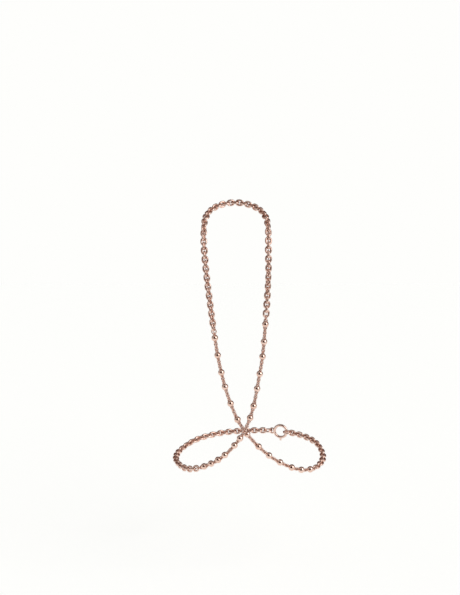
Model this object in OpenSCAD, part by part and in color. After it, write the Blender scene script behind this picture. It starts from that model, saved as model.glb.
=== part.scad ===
// Hand chain bracelet, held in the form it has when worn: one closed chain in a
// figure of eight. Its upper loop goes round a finger, its two strands run down
// from it and cross, and its lower loop goes round the wrist and closes behind it
// with a clasp. Both loops are plain links. Between them each strand is a finer
// chain with a polished ball soldered on every few links.
// Millimetres, +Z from the wrist loop up to the finger loop, -Y out of the side on
// which the strands cross, origin at the middle of the wrist loop.

/* [Plain links] */
// Wire thickness of a plain link
plain_wire = 0.72; // [0.62:0.02:0.86]
// Room between its two neighbours' wires in the hole of a plain link
plain_room = 0.16; // [0.14:0.02:0.30]
// Room beside a neighbour's wire in the hole of a plain link
plain_side_play = 0.25; // [0.21:0.02:0.37]

/* [Fine links] */
// Wire thickness of a fine link, of a join ring and of a ball's own link
fine_wire = 0.39; // [0.35:0.02:0.47]
// Room between its two neighbours' wires in the hole of a fine link
fine_room = 0.12; // [0.12:0.01:0.24]
// Room beside a neighbour's wire in the hole of a fine link
fine_side_play = 0.24; // [0.18:0.01:0.28]

/* [Balls] */
// Diameter of a ball
ball_d = 2.50; // [2.20:0.05:2.80]
// Room between a ball and the wire that hangs in its eye
ball_play = 0.12; // [0.11:0.01:0.20]

/* [Rings] */
// Gap left between the wires of any two joined pieces
joint_gap = 0.15; // [0.14:0.01:0.17]
// Spare length in the hole of a join ring, past the two wires in it
join_play = 0.50; // [0.46:0.02:0.70]
// Wire thickness of the two jump rings at the clasp
jump_wire = 0.70; // [0.60:0.05:0.85]
// Spare length in the hole of a jump ring, past the two wires in it
jump_play = 0.70; // [0.60:0.05:0.90]

/* [Clasp] */
// Thickness of the clasp's round body
clasp_wire = 1.10; // [0.90:0.05:1.30]
// Diameter of the hole in the clasp's round body
clasp_hole = 4.00; // [3.60:0.10:4.60]
// Gap left between the clasp and each of its jump rings
clasp_gap = 0.22; // [0.20:0.01:0.30]
// Wire thickness of the clasp's eye
clasp_eye_wire = 0.65; // [0.55:0.05:0.80]
// Room beside the jump ring's wire in the clasp's eye
clasp_eye_play = 0.35; // [0.25:0.05:0.50]
// Diameter of the clasp's thumb knob
knob_d = 0.90; // [0.70:0.05:1.10]
// How far the thumb knob stands out of the clasp's body
knob_h = 0.70; // [0.50:0.05:1.00]

/* [Hidden] */
$fn = 32;

rose_gold = [0.79, 0.54, 0.46];

// The chain's route, closed: from the clasp behind the wrist, round the right side
// and up the strand that passes under the crossing, round the back of the finger
// loop, and down the strand that passes over the crossing
ROUTE = [
    [12, 21.4, 3.9], [21.3, 16.8, 3.7], [27.3, 9.5, 2.8], [29.4, 1, 0.9], [28, -6.2, 0],
    [24.6, -11.4, -0.3], [19.6, -15.5, 0.9], [13.6, -18.4, 4], [7.2, -20.8, 8.8],
    [1.2, -22, 15], [-4.2, -21.4, 22.2], [-8.4, -19.9, 32], [-11.2, -18.5, 42],
    [-13.3, -17.1, 53], [-16.4, -14.4, 76], [-17.6, -12.2, 88.5],
    [-17.8, -8.6, 95.2], [-17.2, -3.2, 98.8], [-15.3, 3, 100.6], [-11.1, 7.4, 101.9],
    [-5.5, 8.9, 102.4], [0.1, 7.4, 101.7], [4.3, 3, 100.3], [6.2, -3.2, 98.4],
    [6.8, -8.6, 94.8], [6.8, -12.2, 88], [6.7, -14.3, 76], [5, -17.3, 51], [3.3, -18.9, 39.5], [1, -21.4, 28], [-1.9, -23.5, 20.4],
    [-5.8, -23.6, 14.2], [-11.2, -22, 8.2], [-17.8, -18.5, 3.4], [-24, -13.6, 0.5],
    [-28, -7, 0], [-29.4, 1, -0.1], [-27.6, 9.2, 0.4], [-21.2, 17, 1.9], [-11, 21.8, 3],
    [0.6, 23, 3.6]
];

// Middle line of the two loops, from the wrist to the finger: each link lies flat
// or stands on edge as seen from it
AXIS_FOOT = [0, 1.5, 0];
AXIS_TOP = [-5.5, -1, 100];
// The loops are this much wider than they are deep
loop_flatness = 1.8;

// Fine links between one ball and the next, along each beaded strand
UNDER_GAPS = [1, 1, 2, 2, 2, 3, 3, 3, 3, 2, 3, 3];
OVER_GAPS = [3, 2, 3, 2, 3, 1, 5, 0, 2, 0, 0, 0];
// Where along the route the first ball of each beaded strand sits
under_start = 43.95;
over_start = 246.2;

// How far the chain is rolled about its own length, in degrees, at distances along
// the route. Along both beaded strands it rests on the edges of its links, one
// leaning to the left and the next to the right. Past their ends it comes round to
// lie flat, up the finger chain and at the left of the wrist.
ROLL = [
    [8, 0], [16, -10], [41, -10], [56, -28], [110, -28], [124, -8], [138, -4], [151, 12],
    [160, 0], [200, 0], [206, 12], [219, 12], [228, -20], [231, -20], [238, 8], [241, 8],
    [250, -28], [298, -28], [317, -70], [386, 0]
];

// Holes of the links and rings
plain_hole_l = 2 * (plain_wire + joint_gap) + plain_room;
plain_hole_w = plain_wire + 2 * plain_side_play;
fine_hole_l = 2 * (fine_wire + joint_gap) + fine_room;
fine_hole_w = fine_wire + 2 * fine_side_play;
ball_hole_l = ball_d + 2 * (fine_wire + joint_gap + ball_play);
join_hole = plain_wire + fine_wire + join_play;
jump_hole = max(plain_wire, clasp_wire) + plain_wire + jump_play;
clasp_eye_hole = jump_wire + 2 * clasp_eye_play;

clasp_r = (clasp_hole + clasp_wire) / 2;
clasp_eye_r = (clasp_eye_hole + clasp_eye_wire) / 2;

// Kinds of piece along the chain: name, from the middle of the piece to the middle
// of its end wire, and that wire's thickness
KINDS = [
    ["plain", (plain_hole_l + plain_wire) / 2, plain_wire],
    ["fine", (fine_hole_l + fine_wire) / 2, fine_wire],
    ["ball", (ball_hole_l + fine_wire) / 2, fine_wire],
    ["join", (join_hole + fine_wire) / 2, fine_wire],
    ["jump", (jump_hole + jump_wire) / 2, jump_wire],
    ["clasp", clasp_r + clasp_eye_r, clasp_wire]
];
function kind_row(kind) = KINDS[search([kind], KINDS)[0]];
function reach(kind) = kind_row(kind)[1];
function wire(kind) = kind_row(kind)[2];

// From the middle of the clasp to the middle of a jump ring, at either end
function clasp_to_jump(held_wire) =
    reach("clasp") + reach("jump") - (held_wire + jump_wire) / 2 - clasp_gap;

// Middle to middle of two joined pieces, with the chain drawn out
function apart(a, b) = reach(a) + reach(b) - (wire(a) + wire(b)) / 2 - joint_gap;
plain_pitch = apart("plain", "plain");

// Smooth closed curve through the route's points, in short straight steps
steps = 12;
route_n = len(ROUTE);
function on_curve(a, b, c, d, t) =
    b + (c - a) * t / 2 + (2 * a - 5 * b + 4 * c - d) * t * t / 2
      + (3 * b - a - 3 * c + d) * t * t * t / 2;
CURVE = [for (i = [0 : route_n - 1], k = [0 : steps - 1])
    on_curve(ROUTE[(i + route_n - 1) % route_n], ROUTE[i], ROUTE[(i + 1) % route_n],
             ROUTE[(i + 2) % route_n], k / steps)];
curve_n = len(CURVE);

// Distance along the curve against the number of the point reached
TRAVEL = [for (i = 0, s = 0; i <= curve_n;
               s = s + norm(CURVE[(i + 1) % curve_n] - CURVE[i % curve_n]), i = i + 1) [s, i]];
route_len = TRAVEL[curve_n][0];
function wrapped(s) = s - floor(s / route_len) * route_len;
function point_at(s) =
    let (f = lookup(wrapped(s), TRAVEL), i = floor(f), a = CURVE[i % curve_n],
         b = CURVE[(i + 1) % curve_n])
    a + (b - a) * (f - i);
function unit(v) = v / norm(v);
// The chain's direction is taken over this much of it, either way
half_look = 0.6;
function along_at(s) = unit(point_at(s + half_look) - point_at(s - half_look));

// Straight out from the middle line at a point of the route, square to the chain
function out_at(s) =
    let (p = point_at(s), t = along_at(s), h = (p[2] - AXIS_FOOT[2]) / (AXIS_TOP[2] - AXIS_FOOT[2]),
         m = p - (AXIS_FOOT + (AXIS_TOP - AXIS_FOOT) * h),
         n = [m[0], m[1] * loop_flatness * loop_flatness, 0])
    unit(n - t * (n * t));

// A row of pieces is a list of [kind, distance along the route].
// Plain links fill the way from one fixed piece to the next, drawn out or pushed
// together a little. Pushing costs twice the room that drawing out does, so one
// link more is only used where the way is over two thirds of a link too long.
function filled(kind_a, s_a, kind_b, s_b) =
    let (first = apart(kind_a, "plain"), final = apart("plain", kind_b),
         n = max(1, ceil((s_b - s_a - first - final) / plain_pitch - 2 / 3) + 1),
         slack = (s_b - s_a) / (first + (n - 1) * plain_pitch + final))
    [for (i = [0 : n - 1]) ["plain", s_a + slack * (first + i * plain_pitch)]];

// Balls with their fine links, between two join rings
function strand_kinds(gaps) = concat(["join", "ball"],
    [for (g = gaps) for (k = [0 : g]) k < g ? "fine" : "ball"], ["join"]);
function placed(kinds, s) =
    [for (i = 0, at = s; i < len(kinds);
          at = at + (i + 1 < len(kinds) ? apart(kinds[i], kinds[i + 1]) : 0), i = i + 1)
        [kinds[i], at]];
function last(v) = v[len(v) - 1];

UNDER = placed(strand_kinds(UNDER_GAPS), under_start - apart("join", "ball"));
OVER = placed(strand_kinds(OVER_GAPS), over_start - apart("join", "ball"));
jump_right_s = clasp_to_jump(clasp_wire);
jump_left_s = route_len - clasp_to_jump(clasp_eye_wire);
WRIST_RIGHT = filled("jump", jump_right_s, "join", UNDER[0][1]);
FINGER = filled("join", last(UNDER)[1], "join", OVER[0][1]);
WRIST_LEFT = filled("join", last(OVER)[1], "jump", jump_left_s);

// How many pieces come before each row, counted from the clasp and its jump ring
before_right = 2;
before_under = before_right + len(WRIST_RIGHT);
before_finger = before_under + len(UNDER);
before_over = before_finger + len(FINGER);
before_left = before_over + len(OVER);
piece_n = before_left + len(WRIST_LEFT) + 1;
// Each piece is turned a quarter turn from the one before. Where that would not
// meet up at the clasp, the chain on the left of the wrist loop is turned back by one.
left_twist = piece_n % 2 == 0 ? 0 : -90 / (len(WRIST_LEFT) + 1);

// Puts a piece at a distance along the route, its length along the chain. At no
// turn and no roll it lies flat as seen from the middle line.
module on_route(s, turn) {
    t = along_at(s);
    u = out_at(s);
    angle = turn + lookup(wrapped(s), ROLL);
    w = cross(u, t) * cos(angle) + u * sin(angle);
    v = cross(t, w);
    p = point_at(s);
    multmatrix([[t[0], w[0], v[0], p[0]], [t[1], w[1], v[1], p[1]],
                [t[2], w[2], v[2], p[2]], [0, 0, 0, 1]])
        children();
}

module wire_ring(hole, wire) {
    rotate_extrude() translate([(hole + wire) / 2, 0]) circle(d = wire);
}

// Oval link with straight sides, in the XY plane, long along X
module oval_link(hole_l, hole_w, wire) {
    straight = hole_l - hole_w;
    r = (hole_w + wire) / 2;
    for (side = [-1, 1]) {
        translate([side * straight / 2, 0, 0])
            rotate([0, 0, -90 * side]) rotate_extrude(angle = 180)
                translate([r, 0]) circle(d = wire);
        translate([-straight / 2, side * r, 0])
            rotate([0, 90, 0]) cylinder(d = wire, h = straight);
    }
}

// Ball soldered on the middle of a long link, whose two ends are its eyes
module ball_link() {
    sphere(d = ball_d);
    oval_link(ball_hole_l, fine_hole_w, fine_wire);
}

module piece(kind) {
    if (kind == "plain") oval_link(plain_hole_l, plain_hole_w, plain_wire);
    if (kind == "fine") oval_link(fine_hole_l, fine_hole_w, fine_wire);
    if (kind == "ball") ball_link();
    if (kind == "join") wire_ring(join_hole, fine_wire);
}

module row(pieces, before, twist = 0) {
    for (i = [0 : len(pieces) - 1])
        on_route(pieces[i][1], 90 * (before + i) + twist * (i + 1))
            piece(pieces[i][0]);
}

module finger_chain() {
    color(rose_gold) row(FINGER, before_finger);
}

module beaded_strand_under() {
    color(rose_gold) row(UNDER, before_under);
}

module beaded_strand_over() {
    color(rose_gold) row(OVER, before_over);
}

module wrist_chain_right() {
    color(rose_gold) row(WRIST_RIGHT, before_right);
}

module wrist_chain_left() {
    color(rose_gold) row(WRIST_LEFT, before_left, left_twist);
}

module jump_ring_right() {
    color(rose_gold) on_route(jump_right_s, 90) wire_ring(jump_hole, jump_wire);
}

module jump_ring_left() {
    color(rose_gold) on_route(jump_left_s, 90) wire_ring(jump_hole, jump_wire);
}

// Closed ring with an eye at one end and a thumb knob on its edge
module clasp() {
    color(rose_gold) on_route(0, 0) {
        translate([clasp_eye_r, 0, 0]) {
            wire_ring(clasp_hole, clasp_wire);
            translate([0, clasp_r, 0]) rotate([-90, 0, 0])
                cylinder(d = knob_d, h = clasp_wire / 2 + knob_h);
        }
        translate([-clasp_r, 0, 0]) wire_ring(clasp_eye_hole, clasp_eye_wire);
    }
}

finger_chain();
beaded_strand_under();
beaded_strand_over();
wrist_chain_right();
wrist_chain_left();
jump_ring_right();
jump_ring_left();
clasp();
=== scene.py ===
import math
import random

import bmesh
import bpy
import numpy as np
from mathutils import Matrix, Vector


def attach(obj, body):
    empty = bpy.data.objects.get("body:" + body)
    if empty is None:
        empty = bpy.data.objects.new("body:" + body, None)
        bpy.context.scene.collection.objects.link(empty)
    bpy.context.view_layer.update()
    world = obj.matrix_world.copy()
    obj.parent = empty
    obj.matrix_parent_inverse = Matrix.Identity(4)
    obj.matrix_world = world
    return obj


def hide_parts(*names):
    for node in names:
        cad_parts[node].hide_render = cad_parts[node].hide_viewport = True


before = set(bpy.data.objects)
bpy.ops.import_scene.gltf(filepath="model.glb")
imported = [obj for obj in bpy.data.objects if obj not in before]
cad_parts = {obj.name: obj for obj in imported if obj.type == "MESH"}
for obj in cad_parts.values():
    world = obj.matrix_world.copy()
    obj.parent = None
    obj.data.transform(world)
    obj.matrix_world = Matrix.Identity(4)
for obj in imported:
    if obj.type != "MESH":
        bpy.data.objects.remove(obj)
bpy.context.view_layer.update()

# Metal. Every piece is brass wire or a brass ball, plated with rose gold after it is
# soldered. The wire is tumble-polished, which leaves it bright with a fine haze of
# tiny nicks, and each link takes the plate a little paler or redder than the next.
MM = 0.001
WIRE_PALE = "#EBD0C3"
WIRE_RED = "#D8B1A0"
PLATE_PATCH = 0.9 * MM
PATCH_DETAIL = 2.0
PATCH_SHARE = 0.45
NICK_SPACING = 0.09 * MM
NICK_DETAIL = 3.0
NICK_HIGH = 0.01 * MM
NICKS_LOW = 0.3
NICKS_HIGH = 0.7
WIRE_SMOOTHEST = 0.12
WIRE_ROUGHEST = 0.22
WIRE_NICKS = 0.12


def linear(hex_colour):
    """The linear red, green, blue and alpha of an sRGB colour given in hex."""
    shares = [int(hex_colour[i:i + 2], 16) / 255 for i in (1, 3, 5)]
    return [c / 12.92 if c <= 0.04045 else ((c + 0.055) / 1.055) ** 2.4 for c in shares] + [1]


def add_node(tree, kind, settings, links):
    """Adds a node, sets its properties or input sockets, and links outputs into its inputs."""
    node = tree.nodes.new(kind)
    for name, value in settings.items():
        if isinstance(name, str) and hasattr(node, name):
            setattr(node, name, value)
        else:
            node.inputs[name].default_value = value
    for name, output in links.items():
        tree.links.new(output, node.inputs[name])
    return node


def empty_material(name):
    """A new material with no nodes, and its node tree."""
    material = bpy.data.materials.new(name)
    material.use_nodes = True
    material.node_tree.nodes.clear()
    return material, material.node_tree


def rose_gold_plate(name, pale, red, smoothest, roughest, nick_depth):
    """Polished rose gold plate: the metal's own colour, paler or redder from link to link and
    in soft patches, under a haze of fine nicks that spreads its highlights a little."""
    material, tree = empty_material(name)
    place = add_node(tree, "ShaderNodeTexCoord", {}, {})
    tone = add_node(tree, "ShaderNodeAttribute", {"attribute_name": "plate_tone"}, {})
    patches = add_node(tree, "ShaderNodeTexNoise",
                       {"Scale": 1 / PLATE_PATCH, "Detail": PATCH_DETAIL},
                       {"Vector": place.outputs["Object"]})
    shade = add_node(tree, "ShaderNodeMix", {"data_type": "FLOAT", 0: PATCH_SHARE},
                     {2: tone.outputs["Fac"], 3: patches.outputs["Fac"]})
    plate = add_node(tree, "ShaderNodeMix",
                     {"data_type": "RGBA", 6: linear(pale), 7: linear(red)}, {0: shade.outputs[0]})
    nicks = add_node(tree, "ShaderNodeTexNoise",
                     {"Scale": 1 / NICK_SPACING, "Detail": NICK_DETAIL},
                     {"Vector": place.outputs["Object"]})
    haze = add_node(tree, "ShaderNodeMapRange",
                    {"From Min": NICKS_LOW, "From Max": NICKS_HIGH,
                     "To Min": smoothest, "To Max": roughest},
                    {"Value": nicks.outputs["Fac"]})
    dents = add_node(tree, "ShaderNodeBump", {"Strength": nick_depth, "Distance": NICK_HIGH},
                     {"Height": nicks.outputs["Fac"]})
    metal = add_node(tree, "ShaderNodeBsdfPrincipled", {"Metallic": 1.0},
                     {"Base Color": plate.outputs[2], "Roughness": haze.outputs[0],
                      "Normal": dents.outputs[0]})
    add_node(tree, "ShaderNodeOutputMaterial", {}, {"Surface": metal.outputs[0]})
    return material


# Tumble-polished wire: bright, with highlights a little spread by the nicks.
tumbled_wire = rose_gold_plate("tumble_polished_rose_gold_wire", WIRE_PALE, WIRE_RED,
                               WIRE_SMOOTHEST, WIRE_ROUGHEST, WIRE_NICKS)

# Finger chain: plain cable chain that passes behind the finger and down both sides
# of it. Each link is round wire bent to an oval and soldered shut in the middle of
# one side. Real links touch, so each is drawn fuller than its solid in the CAD part.
FULLER = 0.08 * MM
END_STEPS = 8
WIRE_SIDES = 10
SOLDER_HALF = 0.10 * MM
SOLDER_SWELL = 1.05
CLOSE = 1e-7


def solids_of(node):
    """Where each loose solid of a CAD node is, as a matrix with its length along X and its
    thickness along Z, and its sizes along those three axes."""
    cad = bmesh.new()
    cad.from_mesh(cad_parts[node].data)
    bmesh.ops.remove_doubles(cad, verts=cad.verts, dist=CLOSE)
    found, seen = [], set()
    for start in cad.verts:
        if start in seen:
            continue
        seen.add(start)
        island = [start]
        for vert in island:
            for edge in vert.link_edges:
                other = edge.other_vert(vert)
                if other not in seen:
                    seen.add(other)
                    island.append(other)
        faces = list({face for vert in island for face in vert.link_faces})
        areas = np.array([face.calc_area() for face in faces])
        mids = np.array([face.calc_center_median() for face in faces])
        middle = areas @ mids / areas.sum()
        spread = (mids - middle).T @ ((mids - middle) * areas[:, None])
        axes = np.linalg.eigh(spread)[1][:, ::-1]
        along = (np.array([vert.co for vert in island]) - middle) @ axes
        x, y = Vector(axes[:, 0]), Vector(axes[:, 1])
        turn = Matrix((x, y, x.cross(y))).transposed().to_4x4()
        found.append((Matrix.Translation(middle) @ turn, along.max(axis=0) - along.min(axis=0)))
    cad.free()
    return found


def pick(test):
    """In edit mode, selects the vertices that pass a test, and what lies between them."""
    mesh = bmesh.from_edit_mesh(bpy.context.object.data)
    for vert in mesh.verts:
        vert.select_set(test(vert.co))
    mesh.select_flush(True)
    mesh.select_flush(False)
    bmesh.update_edit_mesh(bpy.context.object.data)


def oval_link(name, length, width, wire, material):
    """One link, lying in the XY plane with its length along X and its joint on the +Y side."""
    bend = (width - wire) / 2
    straight = (length - width) / 2
    bpy.ops.object.select_all(action="DESELECT")
    bpy.ops.mesh.primitive_torus_add(major_segments=2 * END_STEPS, minor_segments=WIRE_SIDES,
                                     major_radius=bend, minor_radius=wire / 2)
    link = bpy.context.object
    link.name = name
    bpy.ops.object.mode_set(mode="EDIT")
    bpy.ops.mesh.select_mode(type="VERT")
    pick(lambda co: co.x < -CLOSE)
    bpy.ops.mesh.delete(type="VERT")
    bpy.ops.mesh.select_all(action="SELECT")
    bpy.ops.transform.translate(value=(straight, 0, 0))
    bpy.ops.mesh.select_all(action="DESELECT")
    bpy.ops.mesh.select_non_manifold()
    bpy.ops.mesh.extrude_region_move(
        TRANSFORM_OT_translate={"value": (SOLDER_HALF - straight, 0, 0)})
    bpy.ops.mesh.extrude_region_move(
        TRANSFORM_OT_translate={"value": (-SOLDER_HALF, 0, 0)})
    pick(lambda co: abs(co.x) < CLOSE and co.y > 0)
    bpy.ops.transform.resize(value=(1, SOLDER_SWELL, SOLDER_SWELL), center_override=(0, bend, 0))
    bpy.ops.object.mode_set(mode="OBJECT")
    mirror = link.modifiers.new("other end", "MIRROR")
    mirror.merge_threshold = CLOSE
    bpy.ops.object.modifier_apply(modifier=mirror.name)
    bpy.ops.object.mode_set(mode="EDIT")
    bpy.ops.mesh.select_all(action="SELECT")
    bpy.ops.mesh.remove_doubles(threshold=CLOSE)
    bpy.ops.mesh.normals_make_consistent(inside=False)
    bpy.ops.object.mode_set(mode="OBJECT")
    bpy.ops.object.shade_smooth()
    link.data.materials.append(material)
    return link


def string_up(name, models, places, seed):
    """Lays one copy of a model at each place, gives each its own tone of plate, and joins
    them into one piece."""
    draw = random.Random(seed)
    bpy.ops.object.select_all(action="DESELECT")
    for model, place in zip(models, places):
        copy = model.copy()
        copy.data = model.data.copy()
        copy.matrix_world = place
        bpy.context.collection.objects.link(copy)
        tones = copy.data.attributes.new("plate_tone", "FLOAT", "POINT")
        tones.data.foreach_set("value", [draw.random()] * len(copy.data.vertices))
        copy.select_set(True)
    bpy.context.view_layer.objects.active = copy
    bpy.ops.object.transform_apply(location=True, rotation=True, scale=True)
    bpy.ops.object.join()
    piece = bpy.context.object
    piece.name = name
    piece.data.name = name
    return piece


def finish_piece(piece, node):
    """The piece stands for its CAD node and rides with it."""
    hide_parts(node)
    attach(piece, "root")


finger_solids = solids_of("finger_chain")
plain_size = [size + FULLER for size in finger_solids[0][1]]
plain_link = oval_link("plain_link", *plain_size, tumbled_wire)
piece = string_up("finger_chain_links", [plain_link] * len(finger_solids),
                  [place for place, size in finger_solids], seed=1)
finish_piece(piece, "finger_chain")

# Wrist chains: the same plain cable chain, round the right and the left of the wrist
# to the clasp behind it.
for side, seed in (("right", 2), ("left", 3)):
    node = "wrist_chain_" + side
    solids = solids_of(node)
    piece = string_up(node + "_links", [plain_link] * len(solids),
                      [place for place, size in solids], seed)
    finish_piece(piece, node)

# Beaded strands: finer cable chain with a ball on every few links, between two join
# rings of the same fine wire. A ball is soldered on the middle of its own long link,
# whose ends stand out as its eyes, and is buffed to a mirror.
BALL_SEGMENTS = 40
BALL_RINGS = 20
RING_STEPS = 32
SOLDER_SPREAD = 0.06 * MM
BALL_MIN = 2.0 * MM
OVAL_MIN = 0.05 * MM
SOLDER_SIDES = 6
CREASE = math.radians(40)
BALL_PALE = "#EED2C5"
BALL_RED = "#E0BDAC"
BALL_SMOOTHEST = 0.03
BALL_ROUGHEST = 0.06
BALL_NICKS = 0.02

# Buffed balls: the same plate with a mirror finish, so they show the room around them.
buffed_ball = rose_gold_plate("mirror_buffed_rose_gold_ball", BALL_PALE, BALL_RED,
                              BALL_SMOOTHEST, BALL_ROUGHEST, BALL_NICKS)


def wire_ring(name, across, wire, material):
    """One round ring, lying in the XY plane."""
    bpy.ops.object.select_all(action="DESELECT")
    bpy.ops.mesh.primitive_torus_add(major_segments=RING_STEPS, minor_segments=WIRE_SIDES,
                                     major_radius=(across - wire) / 2, minor_radius=wire / 2)
    ring = bpy.context.object
    ring.name = name
    bpy.ops.object.shade_smooth()
    ring.data.materials.append(material)
    return ring


def ball_link(name, length, ball, width, wire):
    """A ball soldered on the middle of a long link, with a thin collar of solder round the
    wire at each of the four places where it enters the ball."""
    parts = [oval_link(name + "_wire", length, width, wire, tumbled_wire)]
    offset = (width - wire) / 2
    entry = math.sqrt(ball ** 2 / 4 - offset ** 2)
    for x in (-entry, entry):
        for y in (-offset, offset):
            bpy.ops.object.select_all(action="DESELECT")
            bpy.ops.mesh.primitive_torus_add(major_segments=WIRE_SIDES, minor_segments=SOLDER_SIDES,
                                             major_radius=wire / 2, minor_radius=SOLDER_SPREAD,
                                             location=(x, y, 0), rotation=(0, math.pi / 2, 0))
            bpy.ops.object.transform_apply(location=True, rotation=True, scale=True)
            parts.append(bpy.context.object)
            parts[-1].data.materials.append(tumbled_wire)
    bpy.ops.mesh.primitive_uv_sphere_add(segments=BALL_SEGMENTS, ring_count=BALL_RINGS,
                                         radius=ball / 2)
    whole = bpy.context.object
    whole.name = name
    whole.data.materials.append(buffed_ball)
    for part in parts:
        solder = whole.modifiers.new("solder", "BOOLEAN")
        solder.operation = "UNION"
        solder.solver = "EXACT"
        solder.material_mode = "TRANSFER"
        solder.object = part
        bpy.ops.object.modifier_apply(modifier=solder.name)
        bpy.data.objects.remove(part)
    bpy.ops.object.mode_set(mode="EDIT")
    bpy.ops.mesh.select_all(action="SELECT")
    bpy.ops.mesh.remove_doubles(threshold=CLOSE)
    bpy.ops.mesh.normals_make_consistent(inside=False)
    bpy.ops.object.mode_set(mode="OBJECT")
    bpy.ops.object.shade_smooth_by_angle(angle=CREASE)
    return whole


for lie, seed in (("under", 4), ("over", 5)):
    node = "beaded_strand_" + lie
    solids = solids_of(node)
    fine_size = min((size for place, size in solids), key=lambda size: size[0]) + FULLER
    ring_size = next(size for place, size in solids if size[0] - size[1] < OVAL_MIN) + FULLER
    ball_size = next(size for place, size in solids if size[2] > BALL_MIN) + FULLER
    fine_link = oval_link("fine_link", *fine_size, tumbled_wire)
    join_ring = wire_ring("join_ring", ring_size[0], ring_size[2], tumbled_wire)
    ball = ball_link("ball_link", ball_size[0], ball_size[2], fine_size[1], fine_size[2])
    models = []
    for place, size in solids:
        if size[2] > BALL_MIN:
            models.append(ball)
        elif size[0] - size[1] < OVAL_MIN:
            models.append(join_ring)
        else:
            models.append(fine_link)
    piece = string_up(node + "_links", models, [place for place, size in solids], seed)
    finish_piece(piece, node)
    for model in (fine_link, join_ring, ball):
        bpy.data.objects.remove(model)

bpy.data.objects.remove(plain_link)

# Jump rings and clasp: round wire rings, and the plain round clasp that hangs
# between them behind the wrist.
for node in ("jump_ring_right", "jump_ring_left", "clasp"):
    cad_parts[node].data.materials.clear()
    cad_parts[node].data.materials.append(tumbled_wire)

# Studio: a pale table that glows evenly, one soft key light high on the right, and a
# room with pale walls in front, a dark brown wall behind, which gives the wires their
# brown edges, and a dark opening round the camera, seen in every ball.
FLOOR_DROP = 45 * MM
FLOOR_WIDE = 0.9
TABLE_PAPER = "#F4F3F1"
TABLE_ROUGH = 0.9
TABLE_GLOW = "#F7FFFF"
FLOOR_GLOW = 0.501
BACKDROP = "#FEFEFC"
KEY_WIDE = math.radians(50)
KEY_STRENGTH = 1.3
KEY_FROM = Vector((0.66, -0.50, 0.56))
PALE_WALLS = "#BFBDBB"
BROWN_WALL = "#6A4A42"
BROWN_SIDE = Vector((0.0, 0.97, 0.24))
BROWN_INNER = math.radians(38)
BROWN_OUTER = math.radians(68)
OPENING_DARK = "#3A160A"
OPENING_INNER = math.radians(35)
OPENING_OUTER = math.radians(45)
CAMERA_PLACE = Vector((-7.8, -659.5, 243.2)) * MM
CAMERA_DOWN = math.radians(15)
FOCAL_PX = 1750
PHOTO_HIGH = 595
SENSOR = 36

bpy.ops.mesh.primitive_plane_add(size=FLOOR_WIDE, location=(0, 0, -FLOOR_DROP))
floor = bpy.context.object
floor.name = "floor"
bpy.ops.object.transform_apply(location=True)
paper, tree = empty_material("pale_lit_table")
sheet = add_node(tree, "ShaderNodeBsdfPrincipled",
                 {"Base Color": linear(TABLE_PAPER), "Roughness": TABLE_ROUGH,
                  "Emission Color": linear(TABLE_GLOW), "Emission Strength": FLOOR_GLOW}, {})
add_node(tree, "ShaderNodeOutputMaterial", {}, {"Surface": sheet.outputs[0]})
floor.data.materials.append(paper)

world = bpy.data.worlds.new("studio")
bpy.context.scene.world = world
world.use_nodes = True
tree = world.node_tree
tree.nodes.clear()
look = add_node(tree, "ShaderNodeTexCoord", {}, {})
facing = add_node(tree, "ShaderNodeVectorMath",
                  {"operation": "DOT_PRODUCT", 1: CAMERA_PLACE.normalized()},
                  {0: look.outputs["Generated"]})
opening = add_node(tree, "ShaderNodeMapRange",
                   {"interpolation_type": "SMOOTHSTEP", "From Min": math.cos(OPENING_OUTER),
                    "From Max": math.cos(OPENING_INNER)},
                   {"Value": facing.outputs["Value"]})
behind = add_node(tree, "ShaderNodeVectorMath",
                  {"operation": "DOT_PRODUCT", 1: BROWN_SIDE.normalized()},
                  {0: look.outputs["Generated"]})
far = add_node(tree, "ShaderNodeMapRange",
               {"interpolation_type": "SMOOTHSTEP", "From Min": math.cos(BROWN_OUTER),
                "From Max": math.cos(BROWN_INNER)},
               {"Value": behind.outputs["Value"]})
walls = add_node(tree, "ShaderNodeMix",
                 {"data_type": "RGBA", 6: linear(PALE_WALLS), 7: linear(BROWN_WALL)},
                 {0: far.outputs[0]})
seen = add_node(tree, "ShaderNodeMix", {"data_type": "RGBA", 7: linear(OPENING_DARK)},
                {0: opening.outputs[0], 6: walls.outputs[2]})
room = add_node(tree, "ShaderNodeBackground", {"Strength": 1.0}, {"Color": seen.outputs[2]})
backdrop = add_node(tree, "ShaderNodeBackground", {"Color": linear(BACKDROP), "Strength": 1.0}, {})
ray = add_node(tree, "ShaderNodeLightPath", {}, {})
shown = add_node(tree, "ShaderNodeMixShader", {},
                 {0: ray.outputs["Is Camera Ray"], 1: room.outputs[0], 2: backdrop.outputs[0]})
add_node(tree, "ShaderNodeOutputWorld", {}, {"Surface": shown.outputs[0]})

bpy.ops.object.light_add(type="SUN", location=KEY_FROM)
key = bpy.context.object
key.name = "soft_key"
key.data.energy = KEY_STRENGTH
key.data.angle = KEY_WIDE
key.rotation_euler = (-KEY_FROM).to_track_quat("-Z", "Y").to_euler()

bpy.ops.object.camera_add(location=CAMERA_PLACE, rotation=(math.pi / 2 - CAMERA_DOWN, 0, 0))
camera = bpy.context.object
camera.data.sensor_width = SENSOR
camera.data.lens = SENSOR * FOCAL_PX / PHOTO_HIGH
bpy.context.scene.camera = camera
bpy.context.scene.view_settings.view_transform = "Standard"
